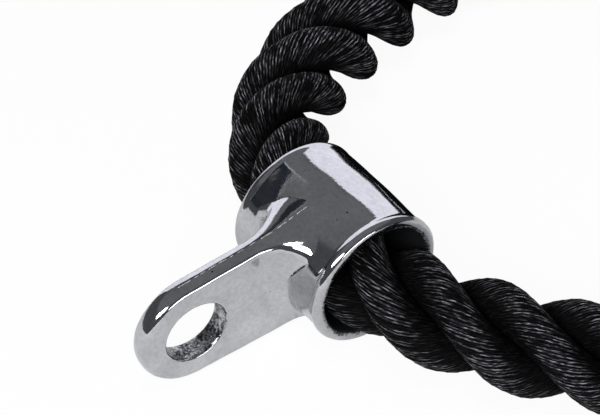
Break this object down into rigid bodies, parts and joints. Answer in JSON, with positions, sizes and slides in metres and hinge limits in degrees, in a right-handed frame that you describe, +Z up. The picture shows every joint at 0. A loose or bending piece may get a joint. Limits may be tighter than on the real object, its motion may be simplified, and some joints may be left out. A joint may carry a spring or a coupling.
{
  "type": "triceps rope attachment",
  "caption": "Thick laid rope with rubber end stops, running through a chrome-plated swivelling collar with a lug and eye.",
  "frame": {"origin": "on the table, at the middle of the footprint of the rigid pieces", "axes": "+X along the collar's bore towards its near mouth, +Z up from the table, the lug points to -Y and the rope's arms go to +Y"},
  "size_m": [0.3776, 0.3908, 0.0483],
  "materials": {
    "chrome": "polished chrome plate on a casting",
    "rope": "glossy black multifilament yarn",
    "rubber": "moulded, satin",
    "washer": "zinc plated",
    "band": "pressed, satin",
    "cap": "moulded, matte"
  },
  "bodies": {
    "rope": {"rope_strand_1": "rope", "rope_strand_2": "rope", "rope_strand_3": "rope", "near_end_stop": "rubber", "near_stop_washer": "washer", "near_crimp_band": "band", "near_end_cap": "cap", "far_end_stop": "rubber", "far_stop_washer": "washer", "far_crimp_band": "band", "far_end_cap": "cap"},
    "collar": {"collar_fitting": "chrome"}
  },
  "joints": [
    {"name": "collar_swivel", "type": "hinge", "parent": "rope", "child": "collar", "pos_m": [-0.0661, -0.13519, 0.0193], "axis": [1, 0, 0], "continuous": true}
  ]
}
